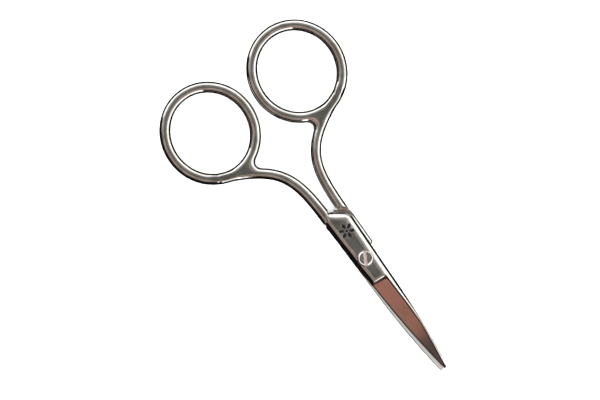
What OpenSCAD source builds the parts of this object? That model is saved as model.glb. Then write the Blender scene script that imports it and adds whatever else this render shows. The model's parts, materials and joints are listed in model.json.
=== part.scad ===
// Small embroidery scissors, used as thread snips: two crossed steel halves with oval
// finger rings, held together by one slotted pivot screw.
// The pivot axis is Z. The origin is where it meets the flat underside of the lower
// half, +X runs to the blade tips and +Z out of the screw head. Millimetres.
// The upper half's blade spine faces +Y and its finger ring lies on -Y. The lower half
// is shaped like it and turned over about X. Its shank is slimmer and its boss is wider.

/* [Opening] */
// Opening angle at which the halves are drawn, zero being shut
rest_open = 1.8; // [0.2:0.1:1.8]

/* [Finger rings] */
// Distance along X from the pivot to the centre of a ring
ring_x = 51.3; // [50:0.1:53]
// Distance along Y from the centre line to the centre of a ring, shut
ring_y = 13.4; // [13.4:0.1:15]
// Length of a ring's opening, along X
ring_length = 22.1; // [21:0.1:22.2]
// Width of a ring's opening, along Y
ring_width = 20.6; // [19:0.1:20.6]
// Width of the bar that a ring is bent from
ring_bar = 3; // [2.6:0.1:3]
// Thickness of the rings and shanks, along Z
handle_t = 3; // [2.6:0.1:3.4]

/* [Shanks] */
// Width of the upper half's shank
upper_shank_w = 3.2; // [2.9:0.1:3.3]
// Width of the lower half's shank
lower_shank_w = 2.9; // [2.7:0.1:3.1]
// Distance along Y from the centre line to the upper shank where it meets the boss
upper_root_y = 2; // [1.9:0.05:2.1]
// Distance along Y from the centre line to the lower shank where it meets the boss
lower_root_y = 2.5; // [2.2:0.05:2.6]
// Where round the ring the shank joins it, as an angle from the pivot side
join_angle = 23; // [20:1:28]
// How far the shank runs straight on from the boss before it bends
root_reach = 16; // [15:0.5:18]
// How far the shank runs straight on from the ring before it bends
ring_reach = 16.8; // [15.5:0.1:18]

/* [Boss] */
// Thickness of one half at the pivot
boss_t = 2.1; // [1.9:0.1:2.4]
// Clearance between the two halves where they face each other
plate_gap = 0.06; // [0.04:0.01:0.1]
// Distance from the pivot to the pointed handle end of the boss
boss_end = 15.5; // [15:0.1:16]
// Half width of the boss at its handle end, on the spine side
boss_half_w = 3.85; // [3.6:0.05:3.9]
// Width of the bevel round the outer face of the boss
bevel = 0.9; // [0.6:0.1:1]
// How far the lower half's boss stands out past the upper one along one side
strip_w = 0.75; // [0.5:0.05:0.8]

/* [Blades] */
// Distance from the pivot to the blade tips
blade_length = 36.2; // [34:0.1:38]
// Distance from the pivot to the start of the ground face
ground_start = 6.6; // [6:0.1:8]
// Half width of the blade at the pivot, on the spine side
spine_root = 3.3; // [3.1:0.05:3.4]
// Half width of the blade at the tip, on the spine side
spine_tip = 0.55; // [0.4:0.05:0.6]
// Half width of the blade at the pivot, on the cutting side
edge_root = 3.05; // [2.9:0.05:3.15]
// Half width of the blade at the tip, on the cutting side
edge_tip = 0.6; // [0.4:0.05:0.65]
// Thickness of the blade's back at the tip
tip_t = 0.6; // [0.5:0.05:0.8]
// Thickness left at the cutting edge
edge_t = 0.3; // [0.25:0.05:0.4]
// Angle between the ground face and the flat of the blade, in degrees
grind_angle = 19.3; // [18:0.1:20]
// Depth of the hollow ground into the inner face of each blade
hollow_depth = 0.1; // [0.05:0.01:0.15]

/* [Pivot screw] */
// Diameter of the screw's shank
screw_d = 2.5; // [2:0.1:3]
// Diameter of the screw's head
head_d = 4; // [3.8:0.1:4.2]
// Height of the screw's head
head_t = 0.75; // [0.6:0.05:0.9]
// Depth of the seat that the head sits in
seat_depth = 0.4; // [0.2:0.05:0.5]
// Width of the driver slot
slot_w = 0.75; // [0.5:0.05:0.9]
// Depth of the driver slot
slot_depth = 0.4; // [0.3:0.05:0.45]
// Direction of the driver slot, in degrees from +X
slot_angle = -30; // [-90:5:90]

/* [Hidden] */
// Radial clearance of the screw's shank in the upper half, which turns on it
pivot_clearance = 0.05;
// Radial clearance that stands for the thread in the lower half
thread_clearance = 0.02;
// Radial clearance of the screw's head in its seat
seat_clearance = 0.15;
// Gap left under the screw's head
end_gap = 0.02;
// How far the screw's end stops short of the underside
screw_recess = 0.1;
// Chamfer on the screw's end and on its head
screw_chamfer = 0.2;

// Height of the plane where the halves face each other
mate_z = boss_t + plate_gap / 2;
// Heights of the upper half's inner and outer faces
inner_z = mate_z + plate_gap / 2;
top_z = inner_z + boss_t;
seat_z = top_z - seat_depth;

// The handle end of the boss comes to a blunt point on the cutting side of the centre line
end_point_y = -0.3;
// How far the slant from that point runs along X, on the cutting side and the spine side
end_run_edge = 2.8;
end_run_spine = 2.6;
// How far the corner between the slant and the spine is cut off, along X and Y
corner_x = 0.7;
corner_y = 0.55;
// How much wider the cutting side is at its handle end than at the choil
side_flare = 0.3;

// The strip's two ends along X, and how much it widens from front to back
strip_front = -2.4;
strip_back = 1.3 - boss_end;
strip_flare = 0.1;
// How far the strip's ends slant along X
strip_lead_front = 0.6;
strip_lead_back = 1.7;
// How far the strip's front reaches out before the slant, and in under the boss
strip_step = 0.4;
strip_root = 0.5;

// Powers that set how quickly each side of the blade curves in toward the tip
spine_power = 2;
edge_power = 2.05;
// Where the cutting side starts to narrow, ahead of the ground face
choil_x = 1.5;
// Radius of the wheel that hollows the inner face
hollow_r = 30;

// How far round the ring and along the shank the web in their fork reaches
web_angle = 30;
web_reach = 0.82;
web_d = 0.88 * ring_bar;
// Width of the shank where it runs into the ring, a little less than the ring's own bar
join_w = 0.92 * ring_bar;
// How far the shank runs on inside the boss
root_overlap = 3.5;
// The shoulder runs parallel to the other half's handle end, this far from it when shut
shoulder_gap = 1.35;
// How far forward the shoulder's sloped face reaches by the plane where the halves meet
shoulder_slope = 1.05;

// Facets round the ring, along the shank, round the bar and along the blade
ring_sides = 48;
shank_sides = 20;
bar_sides = 12;
curve_steps = 12;
// Facets round the web's ends, the screw and its holes, and the hollowing wheel
web_sides = 24;
screw_sides = 64;
wheel_sides = 180;
// Larger than any piece, for what is cut away
big = 60;

// ---- Curves in the plane of the scissors, upper half, shut ----

ring_centre = [-ring_x, -ring_y];
ring_rx = (ring_length + ring_bar) / 2;
ring_ry = (ring_width + ring_bar) / 2;

function unit(v) = v / norm(v);
function left_of(v) = [-v.y, v.x];

// Centre line of the ring's bar, and the direction along it
function ring_point(a) = ring_centre + [ring_rx * cos(a), ring_ry * sin(a)];
function ring_heading(a) = unit([-ring_rx * sin(a), ring_ry * cos(a)]);

// Centre line of the shank, a cubic curve from the boss to the ring
function shank_ends(root_y) = let (
    root = [root_overlap - boss_end, -root_y],
    ring_end = ring_point(-join_angle),
    heading = ring_heading(-join_angle)
) [root, root + [-root_reach, 0], ring_end + ring_reach * heading, ring_end];

function bezier(p, t) =
    pow(1 - t, 3) * p[0] + 3 * pow(1 - t, 2) * t * p[1] + 3 * (1 - t) * t * t * p[2] + pow(t, 3) * p[3];
function bezier_heading(p, t) = unit(
    pow(1 - t, 2) * (p[1] - p[0]) + 2 * (1 - t) * t * (p[2] - p[1]) + t * t * (p[3] - p[2])
);

// The blade's two sides
function taper(root, tip, power, x) = tip + (root - tip) * (1 - pow(x / blade_length, power));
function spine_y(x) = taper(spine_root, spine_tip, spine_power, x);
function edge_y(x) = -taper(edge_root, edge_tip, edge_power, x);

// ---- Shapes that both halves share ----

// One round of points across a bar of width w at p
function bar_section(p, heading, w) = [
    for (i = [0:bar_sides - 1])
        let (a = 360 * i / bar_sides, q = p + left_of(heading) * w / 2 * cos(a))
            [q.x, q.y, w / 2 * sin(a)]
];

// A solid through a list of sections, which can close on itself
module loft(sections, closed = false) {
    n = len(sections[0]);
    m = len(sections);
    last = closed ? m - 1 : m - 2;
    sides = [
        for (i = [0:last])
            for (j = [0:n - 1])
                let (k = (i + 1) % m, l = (j + 1) % n)
                    [i * n + j, k * n + j, k * n + l, i * n + l]
    ];
    caps = closed ? [] : [
        [for (j = [0:n - 1]) j],
        [for (j = [n - 1:-1:0]) (m - 1) * n + j]
    ];
    polyhedron([for (s = sections) each s], concat(sides, caps));
}

// Fills the fork between the ring and the shank
module web(ends) {
    hull()
        for (p = [ring_point(web_angle), ring_point(-join_angle / 2), bezier(ends, web_reach)])
            translate([p.x, p.y, 0])
                sphere(d = web_d, $fn = web_sides);
}

// Ring and shank, bent from round bar and pressed to the handle's thickness
module handle(root_y, shank_w) {
    ends = shank_ends(root_y);
    turns = [for (i = [0:ring_sides - 1]) 360 * i / ring_sides];
    ring = [for (a = turns) bar_section(ring_point(a), ring_heading(a), ring_bar)];
    translate([0, 0, mate_z])
        resize([0, 0, handle_t]) {
            loft(ring, closed = true);
            loft([
                for (i = [0:shank_sides])
                    let (t = i / shank_sides, w = shank_w + (join_w - shank_w) * t)
                        bar_section(bezier(ends, t), bezier_heading(ends, t), w)
            ]);
            web(ends);
        }
}

// Outline of the boss, from the blade's cutting side round its pointed handle end to the
// blade's spine side
boss_outline = [
    [ground_start, edge_y(ground_start)],
    [choil_x, -spine_root],
    [end_run_edge - boss_end, -spine_root - side_flare],
    [-boss_end, end_point_y],
    [end_run_spine - boss_end, boss_half_w - corner_y],
    [end_run_spine + corner_x - boss_end, boss_half_w],
    [ground_start, spine_y(ground_start)]
];

// Outline of the blade, out along the spine side and back along the cutting side. It
// starts narrower, inside the boss.
blade_run = blade_length - ground_start;
blade_x = [for (i = [0:curve_steps]) ground_start + blade_run * i / curve_steps];
blade_outline = concat(
    [[ground_start - 2 * bevel, spine_root - bevel]],
    [for (x = blade_x) [x, spine_y(x)]],
    [for (i = [curve_steps:-1:0]) [blade_x[i], edge_y(blade_x[i])]],
    [[ground_start - 2 * bevel, bevel - edge_root]]
);

// The boss, bevelled all round its outer face
module boss() {
    translate([0, 0, inner_z])
        hull() {
            linear_extrude(boss_t - bevel)
                polygon(boss_outline);
            linear_extrude(boss_t)
                offset(delta = -bevel)
                    polygon(boss_outline);
        }
}

// What thins the blade's back toward the tip
module back_cut() {
    translate([ground_start, -big / 2, top_z])
        rotate([0, atan((boss_t - tip_t) / blade_run), 0])
            cube([big, big, boss_t]);
}

// What grinds the outer face down to the cutting edge
module grind_cut() {
    rise = edge_y(blade_length) - edge_y(ground_start);
    translate([ground_start, edge_y(ground_start), inner_z + edge_t])
        rotate([0, 0, atan2(rise, blade_run)])
            rotate([grind_angle, 0, 0])
                translate([0, -big / 2, 0])
                    cube([big, big, 2 * boss_t]);
}

module blade() {
    difference() {
        translate([0, 0, inner_z])
            linear_extrude(boss_t)
                polygon(blade_outline);
        back_cut();
        grind_cut();
    }
}

// The hollow of the inner face, which runs out at the tip
module hollow() {
    run_out = atan(hollow_depth / blade_run);
    translate([ground_start, 0, inner_z + hollow_depth])
        rotate([0, 90 + run_out, 0])
            translate([hollow_r, 0, 0])
                cylinder(h = big, r = hollow_r, $fn = wheel_sides);
}

// Everything below the plane where the halves meet, ahead of the shoulder
module shoulder_cut() {
    other_end = [boss_outline[3], boss_outline[4]];
    along = [other_end[1].x - other_end[0].x, other_end[0].y - other_end[1].y];
    slope = atan(shoulder_slope / (handle_t / 2));
    difference() {
        translate([-boss_end - 2 * shoulder_gap, -big / 2, inner_z - big])
            cube([big, big, big]);
        translate([-boss_end, -other_end[0].y, mate_z - handle_t / 2])
            rotate([0, 0, atan2(along.y, along.x)])
                translate([0, -shoulder_gap, 0])
                    rotate([-slope, 0, 0])
                        translate([-big / 2, -big, -big / 2])
                            cube([big, big, big]);
    }
}

module half(root_y, shank_w) {
    difference() {
        union() {
            handle(root_y, shank_w);
            boss();
            blade();
        }
        shoulder_cut();
        hollow();
    }
}

// ---- The pieces ----

module upper_half() {
    color([0.66, 0.65, 0.63])
        rotate([0, 0, rest_open / 2])
            difference() {
                half(upper_root_y, upper_shank_w);
                cylinder(h = big, r = screw_d / 2 + pivot_clearance, $fn = screw_sides);
                translate([0, 0, seat_z])
                    cylinder(h = big, r = head_d / 2 + seat_clearance, $fn = screw_sides);
            }
}

// The side of the lower boss that shows past the upper one
module strip() {
    y = -spine_root;
    out = y - strip_step / 2 - strip_w;
    translate([0, 0, inner_z])
        linear_extrude(boss_t - bevel)
            polygon([
                [strip_back, y],
                [strip_back + strip_lead_back, out - strip_flare],
                [strip_front - strip_lead_front, out],
                [strip_front, y - strip_step],
                [strip_front, y + strip_root]
            ]);
}

module lower_half() {
    color([0.6, 0.59, 0.57])
        rotate([0, 0, -rest_open / 2])
            translate([0, 0, 2 * mate_z])
                rotate([180, 0, 0])
                    difference() {
                        union() {
                            half(lower_root_y, lower_shank_w);
                            strip();
                        }
                        cylinder(h = big, r = screw_d / 2 + thread_clearance, $fn = screw_sides);
                    }
}

module pivot_screw() {
    r = screw_d / 2;
    head_r = head_d / 2;
    head_z = seat_z + end_gap;
    color([0.74, 0.73, 0.72])
        difference() {
            rotate_extrude($fn = screw_sides)
                polygon([
                    [0, screw_recess],
                    [r - screw_chamfer, screw_recess],
                    [r, screw_recess + screw_chamfer],
                    [r, head_z],
                    [head_r, head_z],
                    [head_r, head_z + head_t - screw_chamfer],
                    [head_r - screw_chamfer, head_z + head_t],
                    [0, head_z + head_t]
                ]);
            translate([0, 0, head_z + head_t])
                rotate([0, 0, slot_angle])
                    cube([2 * head_d, slot_w, 2 * slot_depth], center = true);
        }
}

lower_half();
upper_half();
pivot_screw();
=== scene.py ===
"""Looks of the embroidery scissors: both forged halves and the pivot screw, in polished steel.

Each piece is a solid given by a field, a function that is negative inside the steel and grows
by about one millimetre per millimetre outside it. Its mesh is the field's zero surface.
Fields work in millimetres, in the frame of the upper half when the scissors are shut: the
pivot axis is Z, +X runs to the tip, +Y is the blade's spine side. The lower half is made in
the same frame and then turned over about X.
"""

import json
import math

import bpy
import numpy as np
from mathutils import Matrix, Vector


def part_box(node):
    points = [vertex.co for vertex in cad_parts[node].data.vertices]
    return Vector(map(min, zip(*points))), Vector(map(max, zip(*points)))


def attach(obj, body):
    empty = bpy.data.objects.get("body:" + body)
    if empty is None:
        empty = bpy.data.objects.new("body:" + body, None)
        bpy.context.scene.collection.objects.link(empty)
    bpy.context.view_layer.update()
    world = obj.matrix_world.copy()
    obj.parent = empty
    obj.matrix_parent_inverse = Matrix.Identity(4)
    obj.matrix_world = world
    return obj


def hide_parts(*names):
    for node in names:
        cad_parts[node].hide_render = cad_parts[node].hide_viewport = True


MM = 0.001

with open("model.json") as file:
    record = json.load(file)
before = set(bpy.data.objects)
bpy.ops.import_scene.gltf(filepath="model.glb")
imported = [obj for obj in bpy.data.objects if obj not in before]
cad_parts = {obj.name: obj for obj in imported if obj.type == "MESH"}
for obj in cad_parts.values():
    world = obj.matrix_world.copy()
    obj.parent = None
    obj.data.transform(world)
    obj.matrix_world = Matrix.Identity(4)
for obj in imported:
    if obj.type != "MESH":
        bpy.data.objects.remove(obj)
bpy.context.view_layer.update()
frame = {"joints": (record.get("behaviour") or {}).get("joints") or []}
upper_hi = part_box("upper_half")[1] / MM
screw_lo, screw_hi = (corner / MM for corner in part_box("pivot_screw"))
pivot = next(joint for joint in frame["joints"] if joint["name"] == "blade_pivot")

# ---- Main heights and lengths, in millimetres, most of them from the frame ----

# Height of the plane where the halves meet, and half the gap between them there
MATE_Z = pivot["pos_m"][2] / MM
HALF_GAP = 0.03
# Heights of the upper half's inner and outer faces, and its thickness between them
INNER_Z = MATE_Z + HALF_GAP
TOP_Z = upper_hi.z
BOSS_T = TOP_Z - INNER_Z
# Distance from the pivot to the tip
TIP_X = upper_hi.x
# Half the angle at which the halves are drawn open
HALF_OPEN = math.radians(-pivot["range_deg"][0] / 2)

# ---- Driving dimensions, in millimetres ----

# Centre of the finger ring, and its half length and half width to the middle of the bar
RING_X = -51.3
RING_Y = -13.4
RING_RX = 12.55
RING_RY = 11.8
# Radius of the bar that ring and shank are bent from
BAR_R = 1.5

# Distance from the centre line to each half's shank where it meets the boss, and its width
UPPER_ROOT_Y = 2.0
UPPER_SHANK_W = 3.2
LOWER_ROOT_Y = 2.5
LOWER_SHANK_W = 2.9
# Where round the ring the shank joins it, and the shank's width there
JOIN_ANGLE = math.radians(-23)
JOIN_W = 2.76
# How far the shank runs straight on from the boss and from the ring before it bends
ROOT_REACH = 16
RING_REACH = 16.8
# How far the shank runs on inside the boss
ROOT_OVERLAP = 3.5
# Fillets between ring and shank: everywhere, and added in the fork, where the two bars'
# outward directions turn apart. The cosines between them say where the fork starts and ends.
JOIN_FILLET = 0.3
FORK_FILLET = 2.6
FORK_COSINES = (0.85, 0.1)

# Distance from the pivot to the boss's blunt handle end, and that end's three corners: on
# the cutting side, at the point and on the spine side
BOSS_END = 15.5
END_EDGE = (2.8 - BOSS_END, -3.6)
END_POINT = (-BOSS_END, -0.3)
END_SPINE = (2.6 - BOSS_END, 3.3)
# Rounding of the corner on the spine side
CORNER_ROUND = 1.6
# How much the boss's spine side widens for each millimetre toward the handle
SPINE_FLARE = 0.04
# How the outer face falls away to both sides of its highest line: by this times the
# distance squared
CROWN = 0.02
CROWN_Y = 0.3
# Rounding between the outer face and the cutting side, and between it and the bevel
SIDE_ROUND = BOSS_T
BEVEL_ROUND = 0.45
# Width and tilt of the narrow bevel along the bolster
LIP_W = 0.5
LIP_TILT = math.radians(33)

# Half widths of the blade at the pivot and at the tip, and the powers that set how quickly
# its sides curve in
SPINE_ROOT = 3.3
SPINE_TIP = 0.55
SPINE_POWER = 2
EDGE_ROOT = 3.05
EDGE_TIP = 0.6
EDGE_POWER = 2.05
# Where the cutting side starts to narrow
CHOIL_X = 1.5
# How much the spine's wall leans in for each millimetre of height, at the boss and at the
# tip, and the stretch of the blade in which that changes
WALL_DRAFT = 0.45
TIP_DRAFT = 0.12
DRAFT_SPAN = (8, 24)
# Tilt of the bevel between that wall and the outer face, at the boss and at the tip
BEVEL_TILT = math.radians(36)
TIP_BEVEL_TILT = math.radians(41)
TILT_SPAN = (16, 26)
# Height of the bevel above the foot of the spine, at the boss, mid-blade and at the tip
BEVEL_FOOT = 0.85
BLADE_BEVEL_FOOT = 1.25
TIP_BEVEL_FOOT = 0.05
FOOT_RISE_SPAN = (6, 20)
FOOT_FALL_SPAN = (21, 38.5)
TIP_ROUND = 0.5
# Width of the chamfer between the inner face and the spine
INNER_CHAMFER = 0.22
# The wheel that hollows the inner face: its radius, how deep it goes, and the length in
# which it comes to that depth
HOLLOW_R = 30
HOLLOW_DEPTH = 0.1
HOLLOW_RUN_IN = 3

# Where the blade starts, and the slope that its outer face is ground down at
GROUND_START = 6.6
GRIND_SLOPE = math.tan(math.radians(19.3))
# Thickness at the cutting edge, and after the narrow facet along it is ground at 45 degrees
EDGE_T = 0.3
FACET_T = 0.05
EDGE_FACET_W = 0.46
# The step where the ground face starts: where its chamfer begins, how far that lies further
# along for each millimetre toward the spine, its width, and the tilts of the chamfer and of
# the wall below it
PLUNGE_X = 6.3
PLUNGE_LEAN = 0.1
PLUNGE_W = 0.42
PLUNGE_TILT = math.radians(38)
PLUNGE_WALL_TILT = math.radians(62)
# Rounding at the foot of the step, and round the ground face's rim
PLUNGE_R = 0.15
RIDGE_R = 0.3
# Widths of the bands of painted shade between the step and the ground face, and along the
# ridge, and the ground face's corner radius
STEP_W = 0.72
RIDGE_W = 0.27
GROUND_CORNER_R = 0.7

# The shoulder under the shank, which stops the other half: its distance from that half's
# handle end, the lean of its steep face, and the slope and reach of its gentle one
SHOULDER_GAP = 1.35
SHOULDER_LEAN = 0.32
SHOULDER_SLOPE = 0.42
SHOULDER_REACH = 1.25

# The crease behind the bolster: its distance from the bolster line, half its width, its
# depth in the bar and the rounding at its bottom
CREASE_AWAY = 0.32
CREASE_HALF_W = 0.26
CREASE_DEPTH = 0.24
CREASE_R = 0.12

# The strip of the lower boss that stands out past the upper one: its outer side and how
# that tapers, its front end, the two corners of its slanting back end, and where it is
# rooted in the boss
STRIP_Y = -4.25
STRIP_TAPER = 0.012
STRIP_FRONT = -2.3
STRIP_BACK = (3.2 - BOSS_END, -4.4)
STRIP_BACK_ROOT = (1.5 - BOSS_END, -3.3)
STRIP_ROOT_Y = -2
STRIP_CORNER_R = 0.5
# Its thickness, the lean of its wall, the height at which the wall is on its outline, and
# the width of its chamfer
STRIP_T = 1.2
STRIP_LEAN = 0.45
STRIP_LEAN_Z = 0.85
STRIP_CHAMFER_W = 0.66

# Holes for the screw, the seat for its head, and the chamfers at their rims
UPPER_BORE_R = 1.3
LOWER_BORE_R = 1.27
BORE_CHAMFER = 0.25
SEAT_R = 2.15
SEAT_DEPTH = 0.4
SEAT_CHAMFER = 0.08

# The screw: its shank, the chamfer at the shank's end, and the gap under its head
SCREW_R = 1.25
SCREW_CHAMFER = 0.2
HEAD_GAP = 0.02
# Its head: the width and tilt of the rim's two slopes, and the depth of the dished face
RIM_W = 0.22
RIM_TILT = math.radians(35)
DISH_DEPTH = 0.12
# Its driver slot
SLOT_ANGLE = math.radians(-30)
SLOT_W = 0.8
SLOT_DEPTH = 0.36

# The flower engraved in the boss: its centre, its depth and the radius of its dot
MOTIF_X = -8.8
MOTIF_Y = 0.35
MOTIF_DEPTH = 0.2
MOTIF_DOT_R = 0.4
# Its petals: how many, how far out their middles are, half their length and half their width
PETALS = 6
PETAL_MIDDLE = 1.4
PETAL_HALF_L = 0.85
PETAL_HALF_W = 0.52

# Rounding of an edge, unless another radius is given
EDGE_R = 0.07
# How much is taken off each half all over. The screw loses half as much.
SKIN = 0.01


# ---- Fields ----

def length(*parts):
    return np.sqrt(sum(part * part for part in parts))


def smooth(low, high, value):
    """0 where value is at low or before it, 1 from high on, and smooth between them."""
    t = np.clip((value - low) / (high - low), 0, 1)
    return t * t * (3 - 2 * t)


def between(first, last, span, x):
    """first before the span along X, last after it, and a smooth change within it."""
    return first + (last - first) * smooth(*span, x)


def meet(a, b, r=EDGE_R):
    """What a and b share, with the edge between them rounded."""
    return np.minimum(np.maximum(a, b), -r) + length(np.maximum(a + r, 0), np.maximum(b + r, 0))


def join(a, b, r):
    """a and b together, with a fillet between them."""
    return np.maximum(np.minimum(a, b), r) - length(np.maximum(r - a, 0), np.maximum(r - b, 0))


def cut(a, b, r=EDGE_R):
    """a without b, with the edge between them rounded."""
    return meet(a, -b, r)


def past_line(x, y, start, end):
    """Distance to the left of the line from start to end, seen from above."""
    ux, uy = end[0] - start[0], end[1] - start[1]
    return ((y - start[1]) * ux - (x - start[0]) * uy) / math.hypot(ux, uy)


def facet(out, up, tilt):
    """A plane through out = up = 0 that slopes down outward, tilted this much from flat."""
    return out * np.sin(tilt) + up * np.cos(tilt)


def chamfer(out, up):
    """A plane through out = up = 0 that slopes down outward at 45 degrees."""
    return (out + up) / math.sqrt(2)


def taper(root, tip, power, x):
    """Half width of a side that curves in from root at the pivot to tip at the blade's end."""
    return tip + (root - tip) * (1 - (np.clip(x, 0, None) / TIP_X) ** power)


def spine_y(x):
    """The spine's edge, straight along the boss and curved along the blade."""
    at_blade = taper(SPINE_ROOT, SPINE_TIP, SPINE_POWER, GROUND_START)
    boss = at_blade + (GROUND_START - x) * SPINE_FLARE
    return np.where(x < GROUND_START, boss, taper(SPINE_ROOT, SPINE_TIP, SPINE_POWER, x))


def edge_y(x):
    """The cutting side, with the choil that leads into it from the boss."""
    at_blade = -taper(EDGE_ROOT, EDGE_TIP, EDGE_POWER, GROUND_START)
    boss = np.interp(x, [END_EDGE[0], CHOIL_X, GROUND_START], [END_EDGE[1], -SPINE_ROOT, at_blade])
    return np.where(x < GROUND_START, boss, -taper(EDGE_ROOT, EDGE_TIP, EDGE_POWER, x))


def ring_field(x, y):
    """Distance in plan to the ring's bar, and the direction away from it."""
    u, v = x - RING_X, y - RING_Y
    level = np.maximum(length(u / RING_RX, v / RING_RY), 1e-6)
    gx, gy = u / RING_RX**2 / level, v / RING_RY**2 / level
    slope = np.maximum(length(gx, gy), 1e-6)
    off = (level - 1) / slope
    side = np.sign(off) / slope
    return np.abs(off) - BAR_R, gx * side, gy * side


def ring_point(angle):
    return np.array([RING_X + RING_RX * math.cos(angle), RING_Y + RING_RY * math.sin(angle)])


def shank_ends(root_y):
    """The four points of the shank's centre line, a cubic curve from the boss to the ring."""
    root = np.array([ROOT_OVERLAP - BOSS_END, -root_y])
    end = ring_point(JOIN_ANGLE)
    heading = np.array([-RING_RX * math.sin(JOIN_ANGLE), RING_RY * math.cos(JOIN_ANGLE)])
    heading /= np.hypot(*heading)
    return root, root + [-ROOT_REACH, 0], end + RING_REACH * heading, end


def curve(p, t):
    """The point at t of a cubic curve, as its X and its Y."""
    s = 1 - t
    return [s**3 * p[0][i] + 3 * s * s * t * p[1][i] + 3 * s * t * t * p[2][i] + t**3 * p[3][i]
            for i in (0, 1)]


def curve_speed(p, t):
    """How fast that point moves as t grows, along X and along Y."""
    s = 1 - t
    return [3 * s * s * (p[1][i] - p[0][i]) + 6 * s * t * (p[2][i] - p[1][i])
            + 3 * t * t * (p[3][i] - p[2][i]) for i in (0, 1)]


def shank_field(x, y, root_y, width):
    """Distance in plan to the shank, and the direction away from it."""
    ends = shank_ends(root_y)
    # A first guess at the nearest point's place along the curve, made better in a few rounds
    table = np.linspace(1, 0, 65)
    t = np.interp(x + 0 * y, curve(ends, table)[0], table)
    for _ in range(6):
        px, py = curve(ends, t)
        vx, vy = curve_speed(ends, t)
        t = np.clip(t - ((px - x) * vx + (py - y) * vy) / (vx * vx + vy * vy), 0, 1)
    px, py = curve(ends, t)
    away = np.maximum(length(x - px, y - py), 1e-6)
    return away - (width + (JOIN_W - width) * t) / 2, (x - px) / away, (y - py) / away


def handle_field(x, y, z, root_y, width):
    """Ring and shank, of round bar."""
    ring, rx, ry = ring_field(x, y)
    shank, sx, sy = shank_field(x, y, root_y, width)
    fork = smooth(*FORK_COSINES, rx * sx + ry * sy)
    plan = join(ring, shank, JOIN_FILLET + FORK_FILLET * fork)
    return length(np.maximum(plan + BAR_R, 0), z - MATE_Z) - BAR_R


def bolster_line(x, y):
    """Distance in plan past the crease where the shank runs into the boss."""
    return past_line(x, y, END_EDGE, END_POINT)


def handle_end_line(x, y):
    """Distance in plan past the boss's slanting handle end."""
    return past_line(x, y, END_POINT, END_SPINE)


def ahead_of_step(x, y):
    """Distance along X past the middle of the step where the ground face starts."""
    return x - PLUNGE_X - PLUNGE_LEAN * y - PLUNGE_W


def ground_height(x, y):
    """Height above the inner face of the plane that is ground down to the cutting edge."""
    return EDGE_T + (y - edge_y(x)) * GRIND_SLOPE


def bevel_tilt(x):
    """Tilt of the spine's bevel."""
    return between(BEVEL_TILT, TIP_BEVEL_TILT, TILT_SPAN, x)


def bevel_foot(x):
    """Height of the spine's bevel above the foot of the spine."""
    foot = between(BEVEL_FOOT, BLADE_BEVEL_FOOT, FOOT_RISE_SPAN, x)
    return between(foot, TIP_BEVEL_FOOT, FOOT_FALL_SPAN, x)


def ridge_y(x):
    """Where the ground face meets the spine's bevel."""
    fall = np.tan(bevel_tilt(x))
    rise = bevel_foot(x) - EDGE_T + spine_y(x) * fall + edge_y(x) * GRIND_SLOPE
    return rise / (fall + GRIND_SLOPE)


def wheel_field(x, y, z):
    """What the grinding wheel takes off the outer face."""
    height = z - INNER_Z
    under = (ground_height(x, y) - height) / math.hypot(1, GRIND_SLOPE)
    edge_facet = -chamfer(edge_y(x) - y, height - FACET_T)
    ahead = ahead_of_step(x, y)
    low = BOSS_T - PLUNGE_W * math.tan(PLUNGE_TILT)
    slope = -facet(ahead, height - low, PLUNGE_TILT)
    wall = -facet(ahead, height - low, PLUNGE_WALL_TILT)
    return meet(np.minimum(under, edge_facet), np.minimum(slope, wall), PLUNGE_R)


def body_field(x, y, z):
    """Boss and blade."""
    height = z - INNER_Z
    plan = meet(y - spine_y(x), handle_end_line(x, y), CORNER_ROUND)
    draft = between(WALL_DRAFT, TIP_DRAFT, DRAFT_SPAN, x)
    wall = (plan + draft * height) / math.hypot(1, WALL_DRAFT)
    bevel = facet(plan, height - bevel_foot(x), bevel_tilt(x))
    top = height - BOSS_T + CROWN * (y - CROWN_Y)**2
    spine = meet(meet(wall, x - TIP_X, TIP_ROUND), meet(bevel, top, BEVEL_ROUND))
    bolster = bolster_line(x, y)
    lip = facet(bolster + LIP_W, height - BOSS_T, LIP_TILT)
    handle_end = meet(meet(bolster, lip), top)
    side = meet(edge_y(x) - y, top, SIDE_ROUND)
    solid = np.maximum(np.maximum(spine, side), handle_end)
    solid = cut(solid, wheel_field(x, y, z), RIDGE_R)
    solid = np.maximum(solid, chamfer(plan, INNER_CHAMFER - height))
    run_out = smooth(GROUND_START, GROUND_START + HOLLOW_RUN_IN, x) * (1 - x / TIP_X)
    hollow = np.maximum(HOLLOW_DEPTH * run_out - y * y / (2 * HOLLOW_R), 0)
    return meet(solid, hollow - height, r=0.04)


def shoulder_field(x, y, z):
    """What is cut away under the plane where the halves meet, ahead of the shoulder: a steep
    face under the shank's outside, then a gentle one down to that plane."""
    end_point = (END_POINT[0], -END_POINT[1])
    end_spine = (END_SPINE[0], -END_SPINE[1])
    ahead = past_line(x, y, end_point, end_spine) + SHOULDER_GAP
    depth = INNER_Z - z
    steep = (ahead - SHOULDER_LEAN * (BAR_R - depth)) / math.hypot(1, SHOULDER_LEAN)
    gentle = (depth - SHOULDER_SLOPE * (SHOULDER_REACH - ahead)) / math.hypot(1, SHOULDER_SLOPE)
    return np.maximum(-depth, np.maximum(-steep, -gentle))


def crease_field(x, y, handle):
    """The crease across the shank, just behind the bolster line."""
    across = np.abs(bolster_line(x, y) - CREASE_AWAY) - CREASE_HALF_W
    return meet(across, -(handle + CREASE_DEPTH), CREASE_R)


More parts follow.
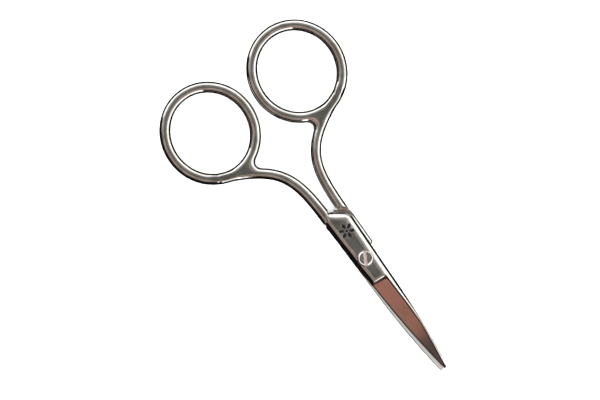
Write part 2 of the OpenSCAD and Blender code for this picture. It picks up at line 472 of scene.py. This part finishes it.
def strip_field(x, y, z):
    """The side of the lower boss that stands out past the upper one."""
    height = z - INNER_Z
    side = STRIP_Y - y - STRIP_TAPER * x
    ends = np.maximum(x - STRIP_FRONT, past_line(x, y, STRIP_BACK, STRIP_BACK_ROOT))
    plan = meet(meet(side, ends, STRIP_CORNER_R), y - STRIP_ROOT_Y)
    slope = facet(plan + STRIP_CHAMFER_W, -height, BEVEL_TILT)
    wall = plan + STRIP_LEAN * (STRIP_LEAN_Z - height)
    return meet(meet(meet(wall, height - STRIP_T, r=0.3), slope), -height, r=0.05)


def motif_field(x, y):
    """Distance in plan to an engraved flower of petals round a dot."""
    u, v = x - MOTIF_X, y - MOTIF_Y
    sector = 2 * math.pi / PETALS
    angle = np.arctan2(v, u)
    angle = angle - np.round(angle / sector) * sector
    r = length(u, v)
    along, across = r * np.cos(angle), np.abs(r * np.sin(angle))
    petal = across - PETAL_HALF_W * (1 - ((along - PETAL_MIDDLE) / PETAL_HALF_L)**2)
    return np.minimum(petal, r - MOTIF_DOT_R)


def half_field(x, y, z, root_y, width):
    """What both halves share: handle, boss and blade."""
    handle = handle_field(x, y, z, root_y, width)
    solid = join(body_field(x, y, z), handle, r=0.12)
    solid = cut(solid, crease_field(x, y, handle), r=0.05)
    return cut(solid, shoulder_field(x, y, z), r=0.1)


def upper_field(x, y, z):
    """The upper half, with a bore that the screw turns in, a seat for its head and a flower."""
    solid = half_field(x, y, z, UPPER_ROOT_Y, UPPER_SHANK_W)
    r = length(x, y)
    below = INNER_Z - 1
    bore = meet(r - UPPER_BORE_R, below - z)
    seat = meet(r - SEAT_R, TOP_Z - SEAT_DEPTH - z)
    rim = chamfer(r - SEAT_R, TOP_Z - z - SEAT_CHAMFER)
    engraving = np.maximum(motif_field(x, y), TOP_Z - MOTIF_DEPTH - z)
    solid = cut(cut(solid, np.minimum(bore, seat), r=0.04), rim, r=0.03)
    return cut(solid, engraving, r=0.05) + SKIN


def lower_field(x, y, z):
    """The lower half, with its strip and a bore that stands for the screw's thread."""
    solid = half_field(x, y, z, LOWER_ROOT_Y, LOWER_SHANK_W)
    solid = join(solid, strip_field(x, y, z), r=0.1)
    r = length(x, y)
    rim = chamfer(r - LOWER_BORE_R, TOP_Z - z - BORE_CHAMFER)
    return cut(cut(solid, r - LOWER_BORE_R), rim, r=0.03) + SKIN


def across_slot(x, y):
    """Distance in plan to the middle of the driver slot."""
    return np.abs(x * math.sin(SLOT_ANGLE) - y * math.cos(SLOT_ANGLE))


def screw_field(x, y, z):
    """The screw. Its head has a dished face, a slope on both sides of its rim and a slot."""
    head_r, head_top = screw_hi.x, screw_hi.z
    under = TOP_Z - SEAT_DEPTH + HEAD_GAP
    foot = screw_lo.z
    rim_r = head_r - RIM_W
    r = length(x, y)
    head = meet(r - head_r, under - z, r=0.05)
    head = meet(head, facet(r - rim_r, z - head_top, RIM_TILT), r=0.04)
    dish = np.maximum(facet(r - rim_r, head_top - z, RIM_TILT), head_top - DISH_DEPTH - z)
    head = cut(meet(head, z - head_top, r=0.02), dish, r=0.03)
    shank = meet(r - SCREW_R, foot - z)
    shank = meet(meet(shank, chamfer(r - SCREW_R, foot + SCREW_CHAMFER - z)), z - under - 0.1)
    slot = meet(across_slot(x, y) - SLOT_W / 2, head_top - SLOT_DEPTH - z, r=0.06)
    return cut(np.minimum(head, shank), slot, r=0.05) + SKIN / 2


# ---- Meshes ----

# The slope of a field is never taken to be flatter than this, where it's divided by
MIN_SLOPE = 0.2
# How strongly a point is held to the middle of the places where its cell's edges are cut
HOLD = 0.03
# The sharpest bend, in degrees, that is still shaded as smooth
SMOOTH_BEND = 16


def gradient(field, points, step=0.004):
    """The field's slope along each axis, at each point."""
    parts = []
    for axis in range(3):
        ahead, behind = points.copy(), points.copy()
        ahead[:, axis] += step
        behind[:, axis] -= step
        parts.append((field(*ahead.T) - field(*behind.T)) / (2 * step))
    return np.stack(parts, 1)


def unit(vectors):
    return vectors / np.maximum(np.linalg.norm(vectors, axis=1, keepdims=True), 1e-9)


def crossings(grid, axis, value):
    """Where the surface cuts the grid's edges along one axis, and the four cells round each."""
    low = value[tuple(slice(None, -1) if i == axis else slice(None) for i in range(3))]
    high = value[tuple(slice(1, None) if i == axis else slice(None) for i in range(3))]
    index = np.argwhere((low < 0) != (high < 0))
    a, b = low[tuple(index.T)], high[tuple(index.T)]
    points = np.stack([grid[i][index[:, i]] for i in range(3)], 1)
    ends = grid[axis][index[:, axis] + 1]
    points[:, axis] += (ends - points[:, axis]) * a / (a - b)
    second, third = np.eye(3, dtype=int)[[(axis + 1) % 3, (axis + 2) % 3]]
    turns = [(-1, -1), (0, -1), (0, 0), (-1, 0)]
    cells = np.stack([index + second * s + third * t for s, t in turns], 1)
    cells[a >= 0] = cells[a >= 0][:, ::-1]
    return points, np.ravel_multi_index(np.moveaxis(cells, 2, 0), value.shape)


def best_points(points, normals, levels, cells, count):
    """The point of each cell that lies nearest to all the surface's planes in it."""
    products = [normals[:, i] * normals[:, j] for i in range(3) for j in range(3)]
    reach = (normals * points).sum(1) - levels
    pulls = [normals[:, i] * reach for i in range(3)]
    places = [points[:, i] for i in range(3)]
    sums = [np.bincount(cells.ravel(), np.repeat(s, 4), count)
            for s in products + pulls + places + [np.ones(len(points))]]
    number = sums[-1]
    matrix = np.stack(sums[:9], 1).reshape(-1, 3, 3)
    centre = np.stack(sums[12:15], 1) / number[:, None]
    target = np.stack(sums[9:12], 1) - np.einsum("nij,nj->ni", matrix, centre)
    matrix = matrix + np.eye(3) * (HOLD * number[:, None, None])
    return centre + np.linalg.solve(matrix, target[:, :, None])[:, :, 0]


def surface(field, grid):
    """The field's zero surface as points and four-sided faces, with edges kept sharp."""
    x, y, z = np.meshgrid(*grid, indexing="ij", sparse=True)
    value = field(x, y, z)
    found = [crossings(grid, axis, value) for axis in range(3)]
    points = np.concatenate([f[0] for f in found])
    cells = np.concatenate([f[1] for f in found])
    used, faces = np.unique(cells, return_inverse=True)
    faces = faces.reshape(-1, 4)
    slopes = gradient(field, points)
    steep = np.maximum(np.linalg.norm(slopes, axis=1), MIN_SLOPE)
    best = best_points(points, unit(slopes), field(*points.T) / steep, faces, len(used))
    # Each point stays in its own cell, and then takes one step onto the surface
    index = np.stack(np.unravel_index(used, value.shape), 1)
    low = np.stack([grid[i][index[:, i]] for i in range(3)], 1)
    high = np.stack([grid[i][index[:, i] + 1] for i in range(3)], 1)
    best = np.clip(best, low, high)
    slopes = gradient(field, best)
    size = np.maximum((slopes * slopes).sum(1), MIN_SLOPE)
    best -= slopes * (field(*best.T) / size)[:, None]
    return best, faces


def corner_normals(field, points, faces):
    """A normal for each corner of each face, which breaks only at the surface's real edges."""
    at_point = unit(gradient(field, points))[faces]
    centres = points[faces].mean(1, keepdims=True)
    inside = points[faces] * 0.6 + centres * 0.4
    nearby = unit(gradient(field, inside.reshape(-1, 3))).reshape(-1, 4, 3)
    bends = (at_point * nearby).sum(2) < math.cos(math.radians(SMOOTH_BEND))
    return np.where(bends[:, :, None], nearby, at_point).reshape(-1, 3)


def make_piece(name, body, field, grid, place, marks):
    """A piece from a field. Marks are numbers that the materials read at each point."""
    points, faces = surface(field, grid)
    place = np.array(place)
    turned = unit(corner_normals(field, points, faces) @ place[:3, :3].T)
    mesh = bpy.data.meshes.new(name)
    mesh.from_pydata(points @ place[:3, :3].T + place[:3, 3], [], faces.tolist())
    for mark, rule in marks.items():
        stored = mesh.attributes.new(mark, "FLOAT", "POINT")
        stored.data.foreach_set("value", rule(*points.T).astype(np.float32))
    mesh.polygons.foreach_set("use_smooth", np.ones(len(faces), bool))
    mesh.normals_split_custom_set(turned.tolist())
    piece = bpy.data.objects.new(name, mesh)
    bpy.context.scene.collection.objects.link(piece)
    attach(piece, body)
    return piece


# ---- Grids ----

def steps(*stops):
    """Grid lines through stops given as start, spacing, next start, spacing, ... , end."""
    lines = []
    for i in range(0, len(stops) - 2, 2):
        start, spacing, end = stops[i:i + 3]
        lines.append(np.linspace(start, end, max(1, round((end - start) / spacing)), endpoint=False))
    return np.concatenate(lines + [[stops[-1]]])


def half_grid():
    """Wide steps over the handle, and fine ones from the shoulder on, finest at the flower."""
    ring_end = RING_X - RING_RX - BAR_R
    ring_side = RING_Y - RING_RY - BAR_R
    xs = steps(ring_end - 0.25, 0.3, -17.2, 0.14, -11.2, 0.09, -6.4, 0.14, TIP_X + 0.4)
    ys = steps(ring_side - 0.5, 0.3, -4.6, 0.12, -2.0, 0.1, 2.7, 0.12, 4.2)
    zs = steps(MATE_Z - BAR_R - 0.05, 0.13, INNER_Z - 0.05, 0.12, MATE_Z + BAR_R - 0.07, 0.12,
               TOP_Z - 0.05, 0.1, TOP_Z + 0.05)
    return xs, ys, zs


def screw_grid():
    """Wide steps along the shank, and fine ones at the head."""
    side = steps(-2.1, 0.06, 2.1)
    return side, side, steps(0, 0.1, 3.6, 0.06, 4.75)


# ---- Marks ----

# How far from a flat face a point still counts as on it, how near the inner face's own mark
# reaches, and how far the step's mark, a band of painted shade, runs past the ridge
NEAR = 0.05
INNER_NEAR = 0.13
PAST_RIDGE = 0.1
# Where the inner face's mark starts, and how slowly it grows from there along X
INNER_START = 4 - BOSS_END
INNER_GROWTH = 0.005


def on_outside(inside, z):
    """A mark that holds only on the outer side, above the middle of the cutting edge."""
    return np.where(z > INNER_Z + EDGE_T / 2, inside, -1)


def step_shade_mark(x, y, z):
    """Above zero on the step, on the ground face and along its ridge. Where the ground face's mark
    leaves it, it is painted dark as shade.
    """
    return on_outside(np.minimum(ahead_of_step(x, y), ridge_y(x) + PAST_RIDGE - y), z)


def ground_mark(x, y, z):
    """Above zero on the ground face, whose corner by the step is rounded."""
    ridge = y + RIDGE_W - ridge_y(x)
    outside = meet(STEP_W - ahead_of_step(x, y), ridge, GROUND_CORNER_R)
    outside = np.maximum(outside, edge_y(x) + EDGE_FACET_W - y)
    return on_outside(-outside, z)


def inner_mark(x, y, z):
    """Above zero on the inner face and in its hollow. It grows slowly from the handle end."""
    flat = INNER_NEAR - np.abs(z - INNER_Z)
    inside = np.minimum(flat, spine_y(x) - INNER_CHAMFER - NEAR - y)
    inside = np.minimum(inside, INNER_GROWTH * (x - INNER_START))
    return np.where(z < INNER_Z + INNER_NEAR, inside, -1)


def engraved_mark(x, y, z):
    """Above zero in the flower."""
    return np.where(z > TOP_Z - MOTIF_DEPTH - NEAR, -motif_field(x, y), -1)


def slot_mark(x, y, z):
    """Above zero on the floor of the driver slot, short of its walls, where a pink highlight is
    painted.
    """
    inside = SLOT_W / 2 - 0.03 - across_slot(x, y)
    return np.where(z < screw_hi.z - SLOT_DEPTH + NEAR, inside, -1)


def no_mark(x, y, z):
    """Below zero everywhere."""
    return x * 0 - 1


# ---- Pieces ----

def half_marks(engraved):
    return {"step": step_shade_mark, "ground": ground_mark, "inner": inner_mark, "engraved": engraved}


def upper_half():
    place = Matrix.Scale(MM, 4) @ Matrix.Rotation(HALF_OPEN, 4, "Z")
    piece = make_piece("upper_half_steel", "upper", upper_field, half_grid(),
                       place, half_marks(engraved_mark))
    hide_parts("upper_half")
    return piece


def lower_half():
    turned_over = Matrix.Translation((0, 0, 2 * MATE_Z)) @ Matrix.Rotation(math.pi, 4, "X")
    place = Matrix.Scale(MM, 4) @ Matrix.Rotation(-HALF_OPEN, 4, "Z") @ turned_over
    piece = make_piece("lower_half_steel", "lower", lower_field, half_grid(),
                       place, half_marks(no_mark))
    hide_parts("lower_half")
    return piece


def pivot_screw():
    piece = make_piece("slotted_screw", "screw", screw_field, screw_grid(),
                       Matrix.Scale(MM, 4), {"slot": slot_mark})
    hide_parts("pivot_screw")
    return piece


# ---- Node helpers ----

class Nodes:
    """Adds nodes to a tree, with sockets or plain values as inputs."""

    def __init__(self, owner):
        owner.use_nodes = True
        self.tree = owner.node_tree
        self.tree.nodes.clear()

    def add(self, kind, inputs=None, **settings):
        node = self.tree.nodes.new(kind)
        for name, value in settings.items():
            setattr(node, name, value)
        for name, value in (inputs or {}).items():
            if isinstance(value, bpy.types.NodeSocket):
                self.tree.links.new(value, node.inputs[name])
            else:
                node.inputs[name].default_value = value
        return node

    def math(self, operation, *values):
        return self.add("ShaderNodeMath", dict(enumerate(values)), operation=operation).outputs[0]

    def sum(self, *values):
        total = values[0]
        for value in values[1:]:
            total = self.math("ADD", total, value)
        return total

    def times(self, a, b):
        return self.math("MULTIPLY", a, b)

    def dot(self, vector, direction):
        node = self.add("ShaderNodeVectorMath", {0: vector, 1: direction}, operation="DOT_PRODUCT")
        return node.outputs["Value"]

    def smooth(self, low, high, value):
        """0 where value is below low, 1 where it is above high, smooth between them."""
        inputs = {"Value": value, "From Min": low, "From Max": high}
        return self.add("ShaderNodeMapRange", inputs, interpolation_type="SMOOTHSTEP").outputs[0]

    def blend(self, share, a, b):
        """a where share is 0, b where it is 1, for plain numbers."""
        inputs = {"Value": share, "To Min": a, "To Max": b}
        return self.add("ShaderNodeMapRange", inputs).outputs[0]

    def mix(self, share, a, b):
        """The same for colours, which can be sockets or red, green and blue."""
        node = self.add("ShaderNodeMix", {0: share}, data_type="RGBA")
        for socket, value in ((6, a), (7, b)):
            if isinstance(value, bpy.types.NodeSocket):
                self.tree.links.new(value, node.inputs[socket])
            else:
                node.inputs[socket].default_value = (*value, 1)
        return node.outputs[2]

    def place(self):
        """The point in the piece, in metres."""
        return self.add("ShaderNodeTexCoord").outputs["Object"]

    def noise(self, vector, scale, detail, stretch=(1, 1, 1), turn=0.0):
        inputs = {"Vector": vector, "Scale": stretch, "Rotation": (0, 0, turn)}
        mapped = self.add("ShaderNodeMapping", inputs).outputs[0]
        inputs = {"Vector": mapped, "Scale": scale, "Detail": detail}
        return self.add("ShaderNodeTexNoise", inputs).outputs[0]

    def bump(self, height, distance, below=None):
        """Normals for a height that is drawn this many millimetres deep."""
        inputs = {"Height": height, "Distance": distance * MM, "Strength": 1.0}
        if below:
            inputs["Normal"] = below
        return self.add("ShaderNodeBump", inputs).outputs[0]

    def mark(self, name, low, high):
        """0 outside a mark and 1 inside it. The change lies between low and high."""
        value = self.add("ShaderNodeAttribute", attribute_name=name).outputs["Fac"]
        return self.smooth(low, high, value)

    def surface(self, kind, inputs, output="ShaderNodeOutputMaterial"):
        shader = self.add(kind, inputs)
        self.add(output, {"Surface": shader.outputs[0]})


# ---- Materials ----

# Colours are red, green and blue, in linear light
STEEL_DULL = (0.54, 0.53, 0.50)
STEEL_BRIGHT = (0.70, 0.69, 0.67)
# The next colour is painted shade: dark brown on the step and in a band along the ridge
STEP_SHADE_BROWN = (0.09, 0.05, 0.05)
# The rose colours, the blade brown and the tip's greys below are a painted reflection on the ground
# face
ROSE_REFLECTION_DARK = (0.70, 0.37, 0.32)
ROSE_REFLECTION_LIGHT = (0.92, 0.52, 0.46)
STAIN_BROWN = (0.56, 0.38, 0.27)
BLADE_BROWN = (0.50, 0.33, 0.25)
TIP_DARK = (0.165, 0.15, 0.145)
TIP_LIGHT = (0.27, 0.235, 0.235)
INNER_GREY = (0.66, 0.655, 0.64)
ENGRAVED_BLACK = (0.01, 0.009, 0.008)
# The screw's pink tint is a painted reflection, and the slot's bright pink a painted highlight
SCREW_DULL = (0.70, 0.645, 0.645)
SCREW_BRIGHT = (0.80, 0.75, 0.75)
SLOT_HIGHLIGHT_PINK = (1.0, 0.90, 0.90)
PAPER_DULL = (0.90, 0.90, 0.90)
PAPER_BRIGHT = (0.92, 0.92, 0.92)

# Roughness of clean and of smudged polish, and what is added to it in other places
POLISH_ROUGH = (0.09, 0.16)
SCRATCH_ROUGH = 0.05
GROUND_ROUGH = 0.22
INNER_ROUGH = 0.5
ENGRAVED_ROUGH = 0.4
SCREW_ROUGH = (0.16, 0.3)
SLOT_ROUGH = 0.4

# Depths of the bumps, in millimetres
WAVE_DEPTH = 0.22
HAIRLINE_DEPTH = 0.0006
STROKE_DEPTH = 0.004
TURNED_DEPTH = 0.003

# Distances along X in which the ground face's painted reflection turns brown and then grey,
# and how far their limits are blurred, in millimetres
TO_BROWN = (13, 26)
TO_GREY = (24.5, 32)
BLUR = 4


def ground_stains_and_reflection(n, place):
    """Painted reflection on the ground face: rose by the bolster, browner from mid-blade and grey at
    the tip, with stains.
    """
    x = n.add("ShaderNodeSeparateXYZ", {0: place}).outputs[0]
    blurred = n.sum(x, n.times(n.noise(place, scale=60, detail=3), BLUR * MM))
    to_brown = n.smooth(TO_BROWN[0] * MM, TO_BROWN[1] * MM, blurred)
    to_grey = n.smooth(TO_GREY[0] * MM, TO_GREY[1] * MM, blurred)
    stroke = n.noise(place, scale=400, detail=4, stretch=(1, 0.12, 1))
    stain = n.smooth(0.45, 0.65, n.noise(place, scale=190, detail=3))
    rose_reflection = n.mix(stroke, ROSE_REFLECTION_DARK, ROSE_REFLECTION_LIGHT)
    rose_reflection = n.mix(n.times(stain, n.blend(to_brown, 0.3, 0.85)), rose_reflection, STAIN_BROWN)
    rose_reflection = n.mix(n.times(to_brown, 0.45), rose_reflection, BLADE_BROWN)
    return n.mix(to_grey, rose_reflection, n.mix(stroke, TIP_DARK, TIP_LIGHT))


def steel_colour(n, place, marks):
    """Steel in duller and brighter patches, with the marked places over it: painted shade on the
    step, a painted reflection on the ground face, the inner face and the engraving.
    """
    mottle = n.smooth(0.35, 0.65, n.noise(place, scale=260, detail=3))
    colour = n.mix(mottle, STEEL_DULL, STEEL_BRIGHT)
    # Painted shade on the step and along the ridge
    colour = n.mix(marks["step"], colour, STEP_SHADE_BROWN)
    # Painted reflection on the ground face, with stains
    colour = n.mix(marks["ground"], colour, ground_stains_and_reflection(n, place))
    colour = n.mix(marks["inner"], colour, INNER_GREY)
    return n.mix(marks["engraved"], colour, ENGRAVED_BLACK)


def steel_roughness(n, place, marks, hairline):
    """Smudges and hairlines on the polish, and more on what is ground or engraved."""
    smudge = n.smooth(0.45, 0.75, n.noise(place, scale=350, detail=4))
    polish = n.blend(smudge, *POLISH_ROUGH)
    scratches = n.times(n.smooth(0.55, 0.8, hairline), SCRATCH_ROUGH)
    ground = n.times(n.math("MAXIMUM", marks["ground"], marks["step"]), GROUND_ROUGH)
    inner = n.times(marks["inner"], INNER_ROUGH)
    engraved = n.times(marks["engraved"], ENGRAVED_ROUGH)
    return n.sum(polish, scratches, ground, inner, engraved)


def steel_bump(n, place, marks, hairline):
    """Slow waves of hand polishing, hairlines, and strokes across the ground faces."""
    strokes = n.noise(place, scale=3000, detail=3, stretch=(1, 0.04, 0.04))
    strokes = n.times(strokes, n.math("MAXIMUM", marks["ground"], marks["inner"]))
    waves = n.bump(n.noise(place, scale=160, detail=2), WAVE_DEPTH)
    fine = n.bump(hairline, HAIRLINE_DEPTH, waves)
    return n.bump(strokes, STROKE_DEPTH, fine)


def polished_steel():
    """Polished steel with a satin ground face, satin inner face and dark engraving. The ground face
    carries a painted reflection and its step painted shade.
    """
    material = bpy.data.materials.new("polished_steel")
    n = Nodes(material)
    place = n.place()
    hairline = n.noise(place, scale=2500, detail=3, stretch=(0.05, 1, 1), turn=0.5)
    marks = {
        "ground": n.mark("ground", -0.04, 0.04),
        "step": n.mark("step", -0.03, 0.03),
        "inner": n.mark("inner", 0.0, 0.02),
        "engraved": n.mark("engraved", -0.04, 0.03),
    }
    # The inner face scatters some of the light, and the engraving is mostly not bare metal
    metallic = n.blend(marks["engraved"], 1.0, 0.2)
    metallic = n.math("SUBTRACT", metallic, n.times(marks["inner"], 0.15))
    n.surface("ShaderNodeBsdfPrincipled", {
        "Base Color": steel_colour(n, place, marks),
        "Roughness": steel_roughness(n, place, marks, hairline),
        "Metallic": metallic,
        "Specular IOR Level": 0.1,
        "Normal": steel_bump(n, place, marks, hairline),
    })
    return material


def screw_steel():
    """Turned steel: fine circles round the screw's axis, a pink tint of painted reflection, and a
    slot painted brighter pink as a painted highlight.
    """
    material = bpy.data.materials.new("screw_steel")
    n = Nodes(material)
    place = n.place()
    split = n.add("ShaderNodeSeparateXYZ", {0: place}).outputs
    r = n.math("SQRT", n.sum(n.math("POWER", split[0], 2.0), n.math("POWER", split[1], 2.0)))
    by_radius = n.add("ShaderNodeCombineXYZ", {0: r, 2: split[2]}).outputs[0]
    turned = n.noise(by_radius, scale=9000, detail=2)
    slot = n.mark("slot", -0.02, 0.02)
    worn_with_pink_reflection = n.mix(n.noise(place, scale=900, detail=3), SCREW_DULL, SCREW_BRIGHT)
    # The base colour carries a pink painted reflection, brightest in the slot as a painted highlight
    n.surface("ShaderNodeBsdfPrincipled", {
        "Base Color": n.mix(slot, worn_with_pink_reflection, SLOT_HIGHLIGHT_PINK),
        "Roughness": n.sum(n.blend(turned, *SCREW_ROUGH), n.times(slot, SLOT_ROUGH)),
        "Metallic": 1.0,
        "Normal": n.bump(turned, TURNED_DEPTH),
    })
    return material


def floor_paper():
    material = bpy.data.materials.new("floor_paper")
    n = Nodes(material)
    colour = n.mix(n.noise(n.place(), scale=40, detail=3), PAPER_DULL, PAPER_BRIGHT)
    n.surface("ShaderNodeBsdfDiffuse", {"Color": colour})
    return material


# ---- Studio ----

# Directions in the tent are an azimuth from +X and a height above the horizon, in degrees.
# The wide white wall and the narrow white card: where each is, half its width, its middle's
# height and half its height
WALL_AZIMUTH = 122
WALL_HALF_TURN = 95
WALL_MIDDLE = 21.5
WALL_HALF_HEIGHT = 17
CARD_AZIMUTH = -2
CARD_HALF_TURN = 30
CARD_MIDDLE = 18
CARD_HALF_HEIGHT = 16
WALL_DIM = (1.7, 1.7, 1.68)
WALL_BRIGHT = (2.2, 2.2, 2.18)

# The dark side, opposite the white wall: how far round from the wall's middle it starts, and
# its stripes from the horizon up, each with the heights in which it takes over and its colour
DARK_SIDE = (98, 118)
HORIZON = (0.008, 0.007, 0.007)
STRIPES = (
    (31, 33, (0.62, 0.46, 0.40)),
    (43, 45, (0.19, 0.145, 0.125)),
    (53, 55, (0.60, 0.47, 0.41)),
    (64, 70, (0.30, 0.29, 0.265)),
)
# What is below the roof, then the roof low down, higher up and straight overhead, and the
# heights in which each gives way to the next
BELOW_ROOF = (0.01, 0.009, 0.009)
ROOF_FOOT = (18, 24)
ROOF_LOW = (0.75, 0.72, 0.69)
ROOF_BEND = (40, 60)
ROOF_HIGH = (0.34, 0.32, 0.30)
ROOF_TOP = (66, 84)
OVERHEAD = (0.165, 0.16, 0.145)
# How uneven the roof is, as the least and the greatest it is multiplied by
CLOUD = (0.2, 1.8)

# What the camera sees past the floor's edge, and the even light on matt surfaces
BACKGROUND = (1.0, 1.0, 1.0)
FLOOR_LIGHT = (3.0, 3.0, 3.0)


def turned_from(n, look, azimuth):
    """Angle in plan between the direction looked in and an azimuth, in degrees."""
    toward = (math.cos(math.radians(azimuth)), math.sin(math.radians(azimuth)), 0)
    left = (-toward[1], toward[0], 0)
    turn = n.math("ARCTAN2", n.dot(look, left), n.dot(look, toward))
    return n.math("DEGREES", n.math("ABSOLUTE", turn))


def panel(n, turn, height, half_turn, middle, half_height):
    """Above zero inside an upright panel of the tent. Its sides are softer than its top."""
    up = n.math("SUBTRACT", half_height, n.math("ABSOLUTE", n.math("SUBTRACT", height, middle)))
    side = n.times(n.math("SUBTRACT", half_turn, turn), 0.6)
    return n.math("MINIMUM", up, side)


def tent_roof(n, look, height, turn):
    """The roof and the dark side's stripes, both uneven."""
    roof = n.mix(n.smooth(*ROOF_BEND, height), ROOF_LOW, ROOF_HIGH)
    stripes = HORIZON
    for low, high, colour in STRIPES:
        stripes = n.mix(n.smooth(low, high, height), stripes, colour)
    roof = n.mix(n.smooth(*DARK_SIDE, turn), roof, stripes)
    roof = n.mix(n.smooth(*ROOF_TOP, height), roof, OVERHEAD)
    cloud = n.blend(n.noise(look, scale=9, detail=3), *CLOUD)
    clouded = n.add("ShaderNodeMix", {0: 1.0, 6: roof, 7: cloud}, data_type="RGBA",
                    blend_type="MULTIPLY")
    return clouded.outputs[2]


def studio_light():
    """A light tent. Its walls are seen only in the steel: a wide white one on the spine side,
    a narrow white card past the tips, a black wall on the other side, with warm stripes
    above it, and a grey roof, darkest overhead."""
    world = bpy.data.worlds.new("light_tent")
    bpy.context.scene.world = world
    world.cycles.sampling_method = "NONE"
    n = Nodes(world)
    look = n.add("ShaderNodeTexCoord").outputs["Generated"]
    height = n.math("DEGREES", n.math("ARCSINE", n.dot(look, (0, 0, 1))))
    wall_turn = turned_from(n, look, WALL_AZIMUTH)
    card_turn = turned_from(n, look, CARD_AZIMUTH)
    wall = panel(n, wall_turn, height, WALL_HALF_TURN, WALL_MIDDLE, WALL_HALF_HEIGHT)
    card = panel(n, card_turn, height, CARD_HALF_TURN, CARD_MIDDLE, CARD_HALF_HEIGHT)
    roof = tent_roof(n, look, height, wall_turn)
    dark = n.mix(n.smooth(*ROOF_FOOT, height), BELOW_ROOF, roof)
    bright = n.mix(n.noise(look, scale=3, detail=2), WALL_DIM, WALL_BRIGHT)
    tent = n.mix(n.smooth(-1.5, 1.5, n.math("MAXIMUM", wall, card)), dark, bright)

    ray = n.add("ShaderNodeLightPath").outputs
    plain = n.mix(ray["Is Camera Ray"], FLOOR_LIGHT, BACKGROUND)
    colour = n.mix(ray["Is Glossy Ray"], plain, tent)
    n.surface("ShaderNodeBackground", {"Color": colour, "Strength": 1.0}, "ShaderNodeOutputWorld")


def floor():
    mesh = bpy.data.meshes.new("floor")
    size = 3.0
    corners = [(-size, -size, 0), (size, -size, 0), (size, size, 0), (-size, size, 0)]
    mesh.from_pydata(corners, [], [(0, 1, 2, 3)])
    mesh.materials.append(floor_paper())
    plane = bpy.data.objects.new("floor", mesh)
    plane.visible_glossy = False
    bpy.context.scene.collection.objects.link(plane)


# The camera: what it looks at, the direction to its right, and the width that it takes in
AIM = Vector((-22.7, -5.1, 2.1))
RIGHT = Vector((0.5821, 0.8131, 0))
VIEW_WIDTH = 159.8
LENS = 135


def camera():
    """Looks straight down through a long lens, turned so that the blades point down and right."""
    data = bpy.data.cameras.new("camera")
    data.lens = LENS
    data.clip_start = 0.01
    right = RIGHT.normalized()
    aim = AIM * MM
    away = VIEW_WIDTH * MM * data.lens / data.sensor_width
    eye = bpy.data.objects.new("camera", data)
    eye.matrix_world = Matrix((
        (right.x, -right.y, 0, aim.x),
        (right.y, right.x, 0, aim.y),
        (0, 0, 1, aim.z + away),
        (0, 0, 0, 1),
    ))
    bpy.context.scene.collection.objects.link(eye)
    bpy.context.scene.camera = eye


steel = polished_steel()
upper_half().data.materials.append(steel)
lower_half().data.materials.append(steel)
pivot_screw().data.materials.append(screw_steel())
studio_light()
floor()
camera()
bpy.context.scene.view_settings.view_transform = "Standard"
